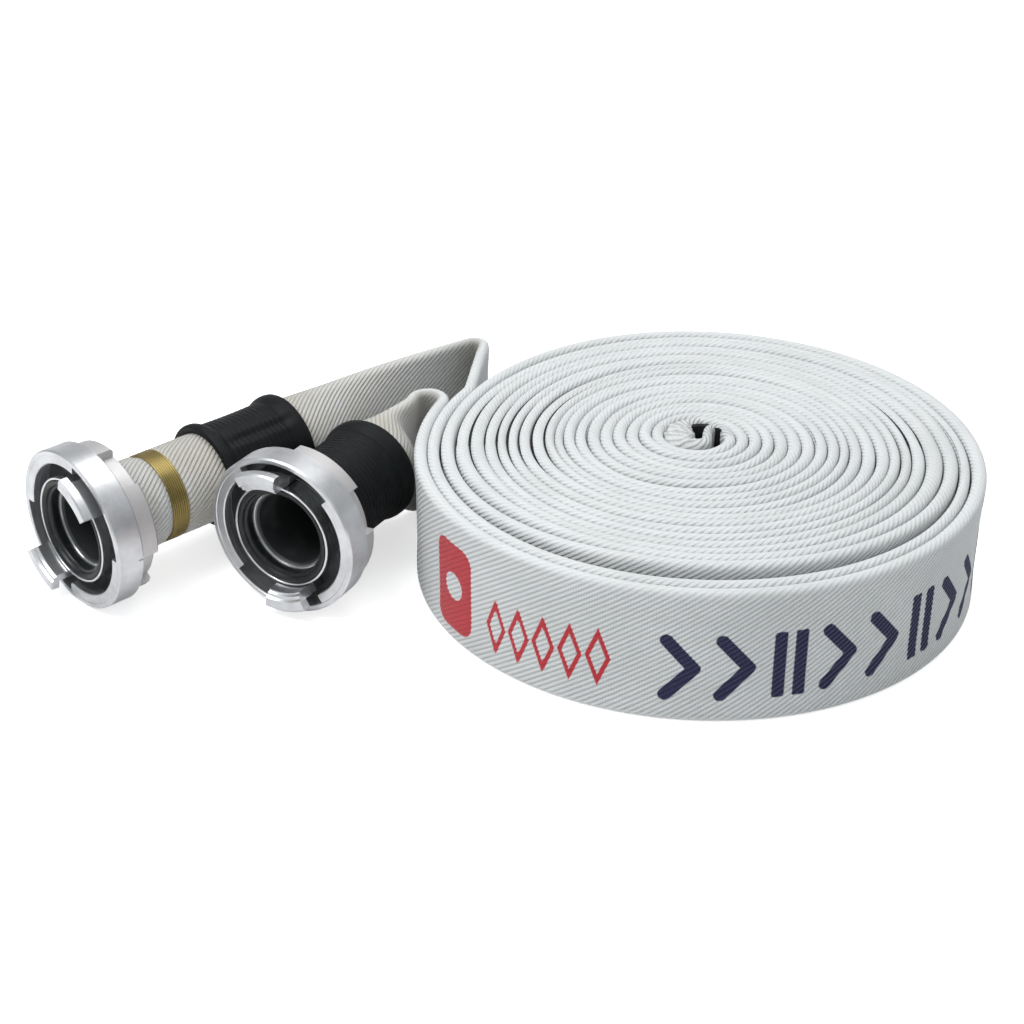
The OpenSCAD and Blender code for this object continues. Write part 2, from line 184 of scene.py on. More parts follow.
class HoseHalf:
    """One half of the hose, from its coupling to the eye of the roll.

    face: middle of the coupling's front face; yaw: its turn from facing -y
    layer: layers between this half and the outside of the roll
    leave: angle on the roll where the hose leaves it
    ease: radius and angle of the curve away from the roll; leg: straight run after it
    bend_radius: of the tight bend after the leg; cut: the tail piece starts this far before it
    flat_back, flat_side: the tail leaves the bend towards this point, from the coupling's face
    round_back: distance behind the face where the hose becomes fully round
    """

    def __init__(self, key, face, yaw, layer, leave, ease, leg, bend_radius, cut,
                 flat_back, flat_side, round_back):
        self.key, self.layer, self.round_back = key, layer, round_back
        self.face = np.array(face)
        yaw = math.radians(yaw)
        self.front = np.array([math.sin(yaw), -math.cos(yaw)])
        self.side = np.array([math.cos(yaw), math.sin(yaw)])

        # off the roll, along the leg and round the bend
        radius = OUT_RADIUS - PITCH * layer
        ease_radius, ease_angle = ease
        ease_centre = OUT_CENTRE + (radius + ease_radius) * direction(leave)
        leg_start = ease_centre - ease_radius * direction(leave + ease_angle)
        self.leg_heading = leave - 90 + ease_angle
        leg_end = leg_start + leg * direction(self.leg_heading)
        self.bend_radius = bend_radius
        self.bend_centre = leg_end + bend_radius * direction(self.leg_heading + 90)

        # the bend ends where its tangent points at the flat point
        flat = self.face - flat_back * self.front + flat_side * self.side
        to_flat = flat - self.bend_centre
        bend_to = (math.degrees(math.atan2(to_flat[1], to_flat[0]))
                   - math.degrees(math.acos(bend_radius / np.linalg.norm(to_flat))))
        heading = unit(flat - (self.bend_centre + bend_radius * direction(bend_to)))
        bend_from = self.leg_heading - 90
        while bend_to < bend_from:
            bend_to += 360

        ease_angles = leave + np.linspace(0, ease_angle, 24)
        to_bend = join(arc(OUT_CENTRE, radius, 180, leave),
                       ease_centre - ease_radius * np.stack([direction(a) for a in ease_angles]),
                       line(leg_start, leg_end))
        past_bend = join(to_bend, arc(self.bend_centre, bend_radius, bend_from, bend_to, 0.25))
        straight = self.face - (round_back + 6) * self.front
        self.out_path = join(past_bend,
                             bezier(past_bend[-1], heading, straight, self.front),
                             line(straight, self.face - HOSE_END * self.front))
        self.bend_start = length(to_bend)
        self.bend_end = length(past_bend)
        self.cut = self.bend_start - cut

        # from the cut back to the roll and inwards to the eye
        self.coil = join(*[arc(QUARTER_CENTRES[i], QUARTER_RADII[i] - PITCH * layer,
                               180 + 90 * i, 270 + 90 * i) for i in range(QUARTERS - 1 - layer)])
        self.wound_path = join(resample(self.out_path, np.arange(self.cut, 0, -0.5)),
                               self.out_path[:1], self.coil)
        self.coil_s, self.coil_angle = [0.0], [180.0]
        before = 0.0
        for i in range(QUARTERS):
            radius = QUARTER_RADII[i] - PITCH * layer
            for part in np.linspace(0, 1, 31)[1:]:
                self.coil_s.append(before + math.radians(90 * part) * radius)
                self.coil_angle.append(180 + 90 * i + 90 * part)
            before += math.radians(90) * radius

    def winding_angle(self, s):
        """Angle in degrees, never wrapped, at length s of the wound path."""
        past = s - self.cut
        return np.where(past < 0, 180 + past / RUN_MM_PER_DEGREE,
                        np.interp(past, self.coil_s, self.coil_angle))

    def local(self, x, y, back):
        """Points about the coupling's axis: x to the side, y up, back behind the front face."""
        points = np.zeros(np.broadcast(x, y, back).shape + (3,))
        for k in range(2):
            points[..., k] = self.face[k] + x * self.side[k] - back * self.front[k]
        points[..., 2] = AXIS_Z + y
        return points


half_a = HoseHalf("a", face=(-364.4, -39.3), yaw=-46.0, layer=1, leave=153.0, ease=(30.0, 20.0),
                  leg=60.5, bend_radius=6.3, cut=13.0,
                  flat_back=205.0, flat_side=0.0, round_back=160.0)
half_b = HoseHalf("b", face=(-242.6, -45.9), yaw=-29.5, layer=0, leave=161.0, ease=(20.0, 5.0),
                  leg=5.0, bend_radius=9.5, cut=6.0,
                  flat_back=128.0, flat_side=7.0, round_back=106.0)
HALVES = (half_a, half_b)


# ---------------------------------------------------------------- hose section
# Girth runs up the right-hand face, over the top, down the left and under the bottom.
def flat_section(girth):
    """Across the layer and up from the middle of the flat hose."""
    girth = np.mod(girth, GIRTH)
    across, up = np.zeros_like(girth), np.zeros_like(girth)
    right = girth < FLAT_LENGTH
    top = (girth >= FLAT_LENGTH) & (girth < TOP_END)
    left = (girth >= TOP_END) & (girth < BOTTOM_START)
    bottom = girth >= BOTTOM_START

    def wall(z):
        """Half thickness: thin in the middle, swelling to the fold edge beyond 16 mm."""
        t = np.clip((np.abs(z) - 16) / (EDGE_Z - 16), 0, 1)
        return WALL_MIDDLE + (EDGE_RADIUS - WALL_MIDDLE) * t * t * (3 - 2 * t)

    up[right] = -EDGE_Z + 2 * EDGE_Z * girth[right] / FLAT_LENGTH
    across[right] = wall(up[right])
    up[left] = EDGE_Z - 2 * EDGE_Z * (girth[left] - TOP_END) / FLAT_LENGTH
    across[left] = -wall(up[left])
    for where, start, sign in ((top, FLAT_LENGTH, 1), (bottom, BOTTOM_START, -1)):
        t = (girth[where] - start) / EDGE_RADIUS
        up[where] = sign * (EDGE_Z + EDGE_RADIUS * np.sin(t))
        across[where] = sign * EDGE_RADIUS * np.cos(t)
    return across, up


def round_section(girth):
    """The same girth on the round hose, with the fold edges at top and bottom."""
    angle = math.pi / 2 + (girth - TOP_FOLD) / GIRTH * 2 * math.pi
    return ROUND_RADIUS * np.cos(angle), ROUND_RADIUS * np.sin(angle)


def section_normals(across, up):
    d_across = np.roll(across, -1, -1) - np.roll(across, 1, -1)
    d_up = np.roll(up, -1, -1) - np.roll(up, 1, -1)
    size = np.hypot(d_across, d_up)
    return d_up / size, -d_across / size


def all_columns():
    return np.arange(int(round(GIRTH / (RIB_PITCH / 3)))) * RIB_PITCH / 3


def columns(fine_from, fine_to, coarse):
    """Girths of the mesh columns: all within the fine range, one in `coarse` elsewhere."""
    girth = all_columns()
    fine = (girth >= fine_from) & (girth <= fine_to)
    return girth[fine | (np.arange(len(girth)) % coarse == 0)]


def fold_distance(girth):
    return np.minimum(np.abs(girth - TOP_FOLD), np.abs(girth - BOTTOM_FOLD))


def rib_fade(girth):
    """Ribs flatten towards the fold edges."""
    return np.clip((fold_distance(girth) - 2.5) / 5.0, 0.2, 1)


def twill(rings, girth):
    """Twill relief: every third grid diagonal is a groove."""
    column = np.round(girth / (RIB_PITCH / 3)).astype(int)
    return np.where((np.arange(rings)[:, None] - column[None, :]) % 3 == 0, -1.0, 0.5)


def waviness(x, seed, scales):
    """Smooth seeded noise of x; scales lists (period, amplitude)."""
    draws = np.random.RandomState(seed)
    out = np.zeros_like(np.asarray(x, float))
    for period, amplitude in scales:
        for _ in range(3):
            wavelength = period * (0.75 + 0.5 * draws.rand())
            out += amplitude / 1.7 * np.sin(2 * np.pi * x / wavelength + 6.3 * draws.rand())
    return out


# ---------------------------------------------------------------- meshes
def add_object(name, data):
    ob = bpy.data.objects.new(name, data)
    bpy.context.scene.collection.objects.link(ob)
    return ob


def ring_mesh(name, points, uv, material, attributes=None, quads=False, flip=False):
    """Mesh over closed rings. points: rings x columns x 3 in mm; uv has one column more."""
    rings, cols = points.shape[:2]
    i, j = np.meshgrid(np.arange(rings - 1), np.arange(cols), indexing="ij")
    corners = [(i, j), (i + 1, j), (i + 1, j + 1), (i, j + 1)]
    faces, face_uvs = [], []
    for shape in [(0, 1, 2, 3)] if quads else [(0, 1, 2), (0, 2, 3)]:
        picked = [corners[k] for k in (shape[::-1] if flip else shape)]
        index = np.stack([ring * cols + col % cols for ring, col in picked], -1)
        faces.append(index.reshape(-1, len(shape)))
        face_uvs.append(np.stack([uv[corner] for corner in picked], -2).reshape(-1, 2))
    faces, face_uvs = np.concatenate(faces), np.concatenate(face_uvs)

    mesh = bpy.data.meshes.new(name)
    count, corner_count = faces.shape
    mesh.vertices.add(rings * cols)
    mesh.vertices.foreach_set("co", (points * MM).astype(np.float32).ravel())
    mesh.loops.add(faces.size)
    mesh.loops.foreach_set("vertex_index", faces.astype(np.int32).ravel())
    mesh.polygons.add(count)
    mesh.polygons.foreach_set("loop_start", np.arange(0, faces.size, corner_count, dtype=np.int32))
    mesh.polygons.foreach_set("loop_total", np.full(count, corner_count, np.int32))
    mesh.update(calc_edges=True)
    mesh.polygons.foreach_set("use_smooth", np.ones(count, bool))
    layer = mesh.uv_layers.new(name="UVMap")
    layer.data.foreach_set("uv", face_uvs.astype(np.float32).ravel())
    for key, values in (attributes or {}).items():
        attribute = mesh.attributes.new(key, "FLOAT", "POINT")
        attribute.data.foreach_set("value", np.asarray(values, np.float32).ravel())
    mesh.validate()
    mesh.materials.append(material)
    return add_object(name, mesh)


def place(centres, right, across, height):
    """Rings of points from path centres, the direction to the right, and section coordinates."""
    points = np.zeros(across.shape + (3,))
    points[..., :2] = centres[:, None] + across[..., None] * right[:, None]
    points[..., 2] = height
    return points


def hose_uv(s, girth):
    """Metres along and round the hose."""
    grid = np.broadcast_arrays(s[:, None], np.r_[girth, GIRTH][None, :])
    return np.stack(grid, -1) / 1000


def attach(ob, body, replaced):
    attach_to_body(ob, body)
    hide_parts(replaced)


# ---------------------------------------------------------------- shader nodes
class Value:
    """A node output; arithmetic on it adds Math nodes."""

    def __init__(self, graph, output):
        self.graph, self.output = graph, output

    def __add__(self, other):
        return self.graph.math("ADD", self, other)

    def __radd__(self, other):
        return self.graph.math("ADD", other, self)

    def __sub__(self, other):
        return self.graph.math("SUBTRACT", self, other)

    def __rsub__(self, other):
        return self.graph.math("SUBTRACT", other, self)

    def __mul__(self, other):
        return self.graph.math("MULTIPLY", self, other)

    def __truediv__(self, other):
        return self.graph.math("DIVIDE", self, other)

    def __pow__(self, other):
        return self.graph.math("POWER", self, other)


class Graph:
    """Short calls that add nodes to a node tree."""

    def __init__(self, tree):
        self.tree = tree

    def put(self, socket, value):
        """Links a Value, or sets a number, vector or RGB colour."""
        if isinstance(value, Value):
            self.tree.links.new(value.output, socket)
            return
        if hasattr(value, "__len__") and len(value) == 3 and len(socket.default_value) == 4:
            value = (*value, 1)
        socket.default_value = value

    def add(self, kind, inputs=None, output=0, **settings):
        node = self.tree.nodes.new("ShaderNode" + kind)
        for key, value in settings.items():
            setattr(node, key, value)
        for key, value in (inputs or {}).items():
            self.put(node.inputs[key], value)
        return Value(self, node.outputs[output])

    def math(self, operation, *values):
        return self.add("Math", dict(enumerate(values)), operation=operation)

    def wave(self, phase):
        """1 at whole phases, 0 half way between."""
        return self.math("COSINE", phase * (2 * math.pi)) * 0.5 + 0.5

    def noise(self, vector, scale, detail=3, roughness=0.5):
        return self.add("TexNoise", {"Vector": vector, "Scale": scale, "Detail": detail,
                                     "Roughness": roughness})

    def step(self, value, low, high):
        """Smooth step from 0 at low to 1 at high."""
        return self.add("MapRange", {0: value, 1: low, 2: high}, interpolation_type="SMOOTHSTEP")

    def mix(self, factor, first, second):
        return self.add("Mix", {0: factor, 6: first, 7: second}, output=2, data_type="RGBA")

    def attribute(self, name):
        return self.add("Attribute", output="Fac", attribute_name=name)

    def uv(self):
        uv = self.add("UVMap", uv_map="UVMap")
        split = self.add("SeparateXYZ", {0: uv}).output.node
        return [Value(self, split.outputs[k]) for k in range(2)]

    def position(self):
        return self.add("TexCoord", output="Object")

    def camera_ray(self):
        return self.add("LightPath", output="Is Camera Ray")

    def dot(self, vector, constant):
        return self.add("VectorMath", {0: vector, 1: constant}, output="Value",
                        operation="DOT_PRODUCT")

    def vector(self, x, y, z):
        return self.add("CombineXYZ", {0: x, 1: y, 2: z})


class Shader(Graph):
    """A material made of one Principled node."""

    def __init__(self, name):
        self.material = bpy.data.materials.new(name)
        self.material.use_nodes = True
        super().__init__(self.material.node_tree)
        self.tree.nodes.clear()
        output = self.tree.nodes.new("ShaderNodeOutputMaterial")
        self.principled = self.tree.nodes.new("ShaderNodeBsdfPrincipled")
        self.tree.links.new(self.principled.outputs[0], output.inputs[0])

    def set(self, key, value):
        self.put(self.principled.inputs[key], value)

    def bump(self, height, strength, distance):
        self.set("Normal", self.add("Bump", {"Strength": strength, "Distance": distance,
                                             "Height": height}))


def tint(colour, red, green, blue):
    return (colour[0] * red, colour[1] * green, colour[2] * blue)


# ---------------------------------------------------------------- materials
# painted shade colour for the weave's grooves and yarn gaps
GROOVE_SHADE_GREY = (0.20, 0.205, 0.21)
FIBRE_WHITE = (0.95, 0.96, 0.97)
# painted shade colour for the inside of the bends
BEND_SHADE_BROWN = (0.21, 0.185, 0.14)
WORN_INK = (0.62, 0.60, 0.62)
INKS = {"sd_red": (0.56, 0.022, 0.035), "sd_blue": (0.012, 0.012, 0.065)}


def jacket_material(name, cool, warm, rib_bump, printed=False):
    """Woven polyester twill: ribs at 36 degrees, each made of short yarn floats."""
    shader = Shader(name)
    u, v = [value * 1000.0 for value in shader.uv()]        # mm along and round the hose

    def cloth_noise(along, around, slice_z, **settings):
        """Noise with its own frequency each way."""
        return shader.noise(shader.vector(u * along, v * around, slice_z), **settings)

    groove = shader.wave(u / RIB_LENGTH - v / RIB_PITCH) ** 2.2
    yarn = shader.wave(u * (3.0 / RIB_LENGTH) + 0.5)        # floats side by side along each rib
    pick = shader.wave(v * (3.0 / RIB_PITCH))
    fine = cloth_noise(along=1.0, around=1.0, slice_z=0.0, scale=2.2, detail=4, roughness=0.65)
    broad = cloth_noise(along=0.02, around=0.02, slice_z=1.7, scale=1.0, detail=4, roughness=0.55)
    streak = cloth_noise(along=0.012, around=0.9, slice_z=4.1, scale=1.0)
    ribs = shader.attribute("ribs")                         # ribs fade on the tight fold edges

    # colour: cool to warm, then patches, streaks and pale fibres, then painted shade: grey in the
    # weave's grooves and yarn gaps, brown on the inner side of the bends
    colour = shader.mix(shader.attribute("warm"), cool, warm)
    patches = shader.step(broad, low=0.35, high=0.75)
    colour = shader.mix(patches, colour, tint(cool, 0.90, 0.905, 0.90))
    streaks = shader.step(streak, low=0.45, high=0.8) * 0.35
    colour = shader.mix(streaks, colour, tint(warm, 0.92, 0.90, 0.86))
    colour = shader.mix(fine * 0.16, colour, FIBRE_WHITE)
    # painted shade: the twill's grooves and the gaps between yarns are coloured grey, as shade in the
    # weave's relief
    colour = shader.mix((groove * 0.40 + yarn * pick * 0.16) * ribs, colour, GROOVE_SHADE_GREY)
    # painted shade: brown on the inner side of the tails' bends
    colour = shader.mix(shader.attribute("soil") * (0.45 + broad * 0.7), colour, BEND_SHADE_BROWN)
    if printed:
        ragged = (fine - 0.5) * 1.1                         # mm added to the marks' outlines
        for key, ink_colour in INKS.items():
            distance = shader.attribute(key) + ragged
            inked = 1.0 - shader.step(distance, low=-0.35, high=0.35)
            # painted shade: the ink is darker in the weave's grooves
            ink = shader.mix(groove * 0.25, ink_colour, tint(ink_colour, 0.6, 0.6, 0.6))
            worn = shader.step(fine, low=0.52, high=0.9) * 0.3
            ink = shader.mix(worn, ink, WORN_INK)
            colour = shader.mix(inked, colour, ink)
    shader.set("Base Color", colour)
    shader.set("Roughness", 0.62 + fine * 0.22)
    shader.set("Sheen Weight", 0.25)
    shader.set("Sheen Roughness", 0.5)
    shader.set("Specular IOR Level", 0.3)

    # relief: the ribs, the yarns on top of them, the picks and the fibres
    height = (1.0 - groove) * rib_bump + (1.0 - yarn * 0.8) * 0.22 * (1.0 - groove)
    height = (height + pick * 0.08) * ribs + fine * 0.10
    shader.bump(height, strength=0.85, distance=0.0009)
    return shader.material


def rubber_material(name, colour):
    shader = Shader(name)
    position = shader.position()
    grain = shader.noise(position, scale=900)
    cloud = shader.noise(position, scale=55, detail=4, roughness=0.6)
    patches = shader.step(cloud, low=0.45, high=0.8)
    shader.set("Base Color", shader.mix(patches, colour, tint(colour, 2.4, 2.4, 2.3)))
    shader.set("Roughness", 0.42 + cloud * 0.25)
    shader.set("Specular IOR Level", 0.22)
    shader.bump(grain * 0.5 + cloud, strength=0.35, distance=0.0003)
    return shader.material


def seal_material():
    dark, pale = (0.008, 0.010, 0.011), (0.022, 0.027, 0.028)
    shader = Shader("seal_rubber")
    grain = shader.noise(shader.position(), scale=400)
    shader.set("Base Color", shader.mix(shader.step(grain, low=0.5, high=0.8), dark, pale))
    shader.set("Roughness", 0.28 + grain * 0.25)
    shader.bump(grain, strength=0.25, distance=0.0002)
    return shader.material


def plain_material(name, colour, roughness, metallic=1.0, bump=0.1):
    shader = Shader(name)
    position = shader.position()
    grain = shader.noise(position, scale=700)
    cloud = shader.noise(position, scale=70, detail=4)
    patches = shader.step(cloud, low=0.4, high=0.85)
    shader.set("Base Color", shader.mix(patches, colour, tint(colour, 0.55, 0.55, 0.55)))
    shader.set("Metallic", metallic)
    shader.set("Roughness", roughness + grain * 0.2)
    shader.bump(grain, strength=bump, distance=0.0002)
    return shader.material


def coupling_shader(name, half):
    """Shader with the distance from one coupling's axis and behind its face, and two noises."""
    shader = Shader(name)
    position = shader.position()
    origin = np.array([*half.face, AXIS_Z]) * MM
    side, front = [(float(axis[0]), float(axis[1]), 0.0) for axis in (half.side, half.front)]
    x = shader.dot(position, side) - float(origin @ np.array(side))
    z = shader.dot(position, (0, 0, 1)) - float(origin[2])
    back = float(origin @ np.array(front)) - shader.dot(position, front)
    radius = shader.math("SQRT", x * x + z * z)
    rings = shader.vector(radius * 1.0, back * 1.0, shader.math("ARCTAN2", x, z) * 0.0008)
    turned = shader.noise(rings, scale=2600, detail=2, roughness=0.6)
    cloud = shader.noise(position, scale=60, detail=5, roughness=0.6)
    return shader, position, radius, back, turned, cloud


def finish_coupling(shader, position, colour, roughness):
    """Adds faint grey blotches and sets colour and roughness."""
    blotch = shader.noise(position, scale=24)
    blotch.output.node.inputs["Roughness"].default_value = 0.55
    faint = shader.step(blotch, low=0.55, high=0.75) * 0.16
    shader.set("Base Color", shader.mix(faint, colour, (0.42, 0.41, 0.40)))
    shader.set("Roughness", roughness)
    return shader.material


def head_material(half):
    """Forged aluminium: turned at the front, a cast skin on the hub, and between them a recess
    painted near-black as shade.
    """
    bright, dull = (0.80, 0.81, 0.83), (0.63, 0.635, 0.65)
    skin_dark, skin_pale = (0.60, 0.565, 0.56), (0.78, 0.75, 0.74)
    shader, position, radius, back, turned, cloud = coupling_shader(
        "head_aluminium_" + half.key, half)
    grain = shader.noise(position, scale=1500, detail=2)
    hub = shader.step(back, low=0.0165, high=0.0175)
    colour = shader.mix(shader.step(cloud, low=0.35, high=0.75), bright, dull)
    colour = shader.mix(hub * 0.6, colour, shader.mix(cloud, skin_dark, skin_pale))
    # painted shade: the recess behind the front is coloured near-black and made less metallic
    painted_channel_shade = (shader.step(back, low=0.0045, high=0.0060)
               * (1.0 - shader.step(radius, low=0.0452, high=0.0456))
               * (1.0 - shader.step(back, low=0.0148, high=0.0152)))
    colour = shader.mix(painted_channel_shade * 0.93, colour, (0.035, 0.040, 0.040))
    roughness = 0.24 + cloud * 0.20 + hub * 0.18
    shader.set("Metallic", 0.96 - painted_channel_shade * 0.55)
    # tool marks fade on the hub, where the skin's grain takes over
    height = turned * (1.0 - hub * 0.8) + (grain + cloud) * 1.6 * (0.12 + hub)
    shader.bump(height, strength=0.22, distance=0.0003)
    return finish_coupling(shader, position, colour, roughness)


def shank_material(half):
    """Turned aluminium; its bore is painted near-black as shade."""
    bright, dull = (0.86, 0.87, 0.88), (0.70, 0.71, 0.72)
    shader, position, radius, back, turned, cloud = coupling_shader(
        "shank_aluminium_" + half.key, half)
    # painted shade: deep in the bore the colour is near-black and less metallic
    bore = ((1.0 - shader.step(radius, low=0.0246, high=0.0248))
            * shader.step(back, low=0.0086, high=0.0092))
    colour = shader.mix(shader.step(cloud, low=0.3, high=0.8), bright, dull)
    colour = shader.mix(bore * 0.965, colour, (0.012, 0.015, 0.017))
    roughness = 0.16 + turned * 0.16 + bore * 0.3
    shader.set("Metallic", 1.0 - bore * 0.8)
    shader.bump(turned, strength=0.12, distance=0.0002)
    return finish_coupling(shader, position, colour, roughness)


COOL, WARM, TAIL_WARM = (0.80, 0.825, 0.835), (0.745, 0.715, 0.65), (0.60, 0.568, 0.495)
ROLL_WEAVE = jacket_material("jacket_weave", COOL, WARM, rib_bump=1.0)
PRINTED_WEAVE = jacket_material("jacket_weave_printed", COOL, WARM, rib_bump=0.45, printed=True)
TAIL_WEAVE = jacket_material("jacket_weave_tail", COOL, TAIL_WARM, rib_bump=0.45)
RUBBER = rubber_material("moulded_rubber", colour=(0.0042, 0.0055, 0.0062))
LINER = rubber_material("liner_rubber", colour=(0.010, 0.011, 0.012))
SEAL = seal_material()
WIRE = plain_material("binding_wire", (0.40, 0.31, 0.12), roughness=0.30, bump=0.15)
NYLON = plain_material("slip_ring_nylon", (0.80, 0.79, 0.74), roughness=0.4, metallic=0.0)
SPRING = plain_material("spring_steel", (0.42, 0.43, 0.45), roughness=0.25)


def paint(node, material):
    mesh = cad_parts[node].data
    mesh.materials.clear()
    mesh.materials.append(material)
    for polygon in mesh.polygons:
        polygon.material_index = 0


for half in HALVES:
    paint("lug_ring_" + half.key, head_material(half))
    paint("shank_" + half.key, shank_material(half))
    paint("seal_" + half.key, SEAL)
    paint("slip_ring_" + half.key, NYLON)
    paint("snap_ring_" + half.key, SPRING)
    paint("liner_tail_" + half.key, LINER)
paint("liner_roll", LINER)

# ---------------------------------------------------------------- the roll
# How far layers stand up at the front of the roll: layer, lift
FRONT_LIFT = ([0, 1.9, 2.4, 3.2, 5.5, 9, 13, 20],
              [0, 0, 7.6, 7.2, 5.2, 3.2, 1.6, 0.5])
# Outward shift of each layer from the even winding, from the outermost inwards
LEFT_SHIFT = [1.3, -.2, .1, -1.9, -3.3, -4.1, -4.1, -2.8, -1.9, -2.1, -2.9, -1.3,
              .8, 1.3, 1.4, 1, .8, .4, 0]
RIGHT_SHIFT = [2.4, .7, 1.1, -.3, -2.9, -3.1, -1.5, -.6, -.8, -1.6, -1.2, .7,
               1.3, 1.3, 1, .5, 0]


def unevenness(angle, first_layer):
    """Lift, thickness factor and outward shift of the hose at a winding angle in degrees."""
    layer = (angle - 180) / 180 + first_layer
    sine, cosine = np.sin(np.radians(angle)), np.cos(np.radians(angle))
    front, back = np.clip(-sine, 0, 1) ** 0.8, np.clip(sine, 0, 1)
    left, right = np.clip(-cosine, 0, 1) ** 1.4, np.clip(cosine, 0, 1) ** 1.4

    lift = (np.interp(layer, *FRONT_LIFT) * front
            + waviness(layer, 11, [(0.9, 0.45), (2.7, 0.5)]) * np.clip(layer / 1.2, 0.15, 1)
            + 1.8 * back * np.clip(1.6 - layer / 8, 0, 1))
    # nothing sinks through the floor
    lift = np.maximum(lift, 0) * np.clip((angle - 150) / 60, 0, 1)

    hold = np.clip((angle - 170) / 40, 0, 1)        # the runs that leave the roll stay put

    def shift_of(at):
        return hold * (left * np.interp(at, np.arange(len(LEFT_SHIFT)), LEFT_SHIFT)
                       + right * np.interp(at - 1, np.arange(len(RIGHT_SHIFT)), RIGHT_SHIFT))

    outer, inner = shift_of(layer), shift_of(layer + 1)
    ripple = waviness(layer, 31, [(0.8, 0.07), (2.1, 0.10)])
    shift = (outer + inner) / 2 + ripple * np.clip(1 - layer / 18, 0, 1) * hold
    thin = 1 - 0.13 * np.exp(-((layer - 2.05) / 0.35) ** 2)
    thickness = 1.015 + waviness(layer, 23, [(0.35, 0.012), (1.3, 0.015)])
    thickness = thickness * (1 + (outer - inner) / PITCH) * np.where(hold > 0, thin, 1)
    return lift, thickness, shift


def wound_strip(half, s, girth, ribs=0.0):
    """Points, UVs and attributes of wound hose; ribs scales the relief of each column."""
    lift, thickness, shift = unevenness(half.winding_angle(s), half.layer)
    # walked inwards, the path turns left, so its right-hand side faces outwards
    right = right_of(headings(half.wound_path, s, reach=0.4))
    centres = resample(half.wound_path, s) + right * shift[:, None]
    across, up = flat_section(girth)
    normal_across, normal_up = section_normals(across, up)
    relief = twill(len(s), girth) * ribs * RIB_RELIEF
    points = place(centres, right, across * thickness[:, None] + relief * normal_across,
                   MID_Z + up + relief * normal_up + lift[:, None])
    shape = points.shape[:2]
    fade = np.clip((fold_distance(girth) - 2.0) / 5.0, 0, 1) * 0.75 + 0.25
    attributes = {"ribs": np.broadcast_to(fade, shape), "warm": np.zeros(shape),
                  "soil": np.zeros(shape)}
    return points, hose_uv(s, girth), attributes


# Printed marks on the outermost turn, as signed distances in mm: x along the hose, z up
PRINT_START = 205.0                             # winding angle of x = 0
PRINT_MM_PER_DEGREE = math.radians(1) * 166.0


def rounded_box(x, z, middle, half_size, corner):
    past_x = np.abs(x - middle[0]) - half_size[0] + corner
    past_z = np.abs(z - middle[1]) - half_size[1] + corner
    outside = np.hypot(np.maximum(past_x, 0), np.maximum(past_z, 0))
    return outside + np.minimum(np.maximum(past_x, past_z), 0) - corner


def stroke(x, z, start, end, radius):
    from_x, from_z = x - start[0], z - start[1]
    along_x, along_z = end[0] - start[0], end[1] - start[1]
    t = (from_x * along_x + from_z * along_z) / (along_x * along_x + along_z * along_z)
    t = np.clip(t, 0, 1)
    return np.hypot(from_x - t * along_x, from_z - t * along_z) - radius


def chevron(x, z, middle, half_width, half_height, radius):
    centre_x, centre_z = middle
    tip = (centre_x + half_width, centre_z)
    upper, lower = [stroke(x, z, (centre_x - half_width, centre_z + rise), tip, radius)
                    for rise in (half_height, -half_height)]
    return np.minimum(upper, lower)


def red_marks(x, z):
    """A rounded panel with a round hole, then five outlined diamonds."""
    panel = rounded_box(x, z, middle=(19, 37), half_size=(17.5, 28), corner=9)
    out = np.maximum(panel, -(np.hypot(x - 19, z - 37) - 8.5))
    for k in range(5):
        part_x = np.abs(x - (57 + k * 16.4)) / 7.4
        part_z = np.abs(z - 29 - k * 1.2) / 18.5
        edge = (part_x + part_z - 1) * 6.8
        out = np.minimum(out, np.abs(edge + 1.3) - 1.3)
    return out


def blue_marks(x, z):
    """Nine marks: two chevrons, then a pair of bars, three times over."""
    out = 1e3
    for k in range(9):
        centre_x = 167 + k * 29.5
        centre_z = 34 + 1.5 * math.sin(k * 0.5)
        if k % 3 == 2:
            for offset in (-5.4, 6.4):
                bar = rounded_box(x, z, middle=(centre_x + offset, centre_z),
                                  half_size=(3.6, 20.5), corner=0.8)
                out = np.minimum(out, bar)
        else:
            out = np.minimum(out, chevron(x, z, middle=(centre_x, centre_z), half_width=7.5,
                                          half_height=17.0, radius=3.7))
    return out


def outer_turn():
    """The outermost turn: half B from the cut through its first full turn. Returns its end."""
    turn = np.interp(548.0, half_b.coil_angle, half_b.coil_s)
    s = np.arange(0, half_b.cut + turn, RING_STEP)
    girth = np.union1d(columns(-1, TOP_END + 4, coarse=6), columns(BOTTOM_START - 2, GIRTH, coarse=6))
    ribbed = (girth < TOP_END + 4) | (girth > BOTTOM_START - 2)
    points, uv, attributes = wound_strip(half_b, s, girth, ribs=rib_fade(girth) * ribbed)
    x = ((half_b.winding_angle(s) - PRINT_START) * PRINT_MM_PER_DEGREE)[:, None]
    z = (MID_Z + flat_section(girth)[1])[None, :]
    off_face = (girth > FLAT_LENGTH)[None, :]
    for key, marks in (("sd_red", red_marks), ("sd_blue", blue_marks)):
        attributes[key] = np.where(off_face, 50, np.clip(marks(x, z), -20, 50))
    ob = ring_mesh("hose_outer_turn", points, uv, PRINTED_WEAVE, attributes)
    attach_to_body(ob, "hose_roll")
    return s[-1]


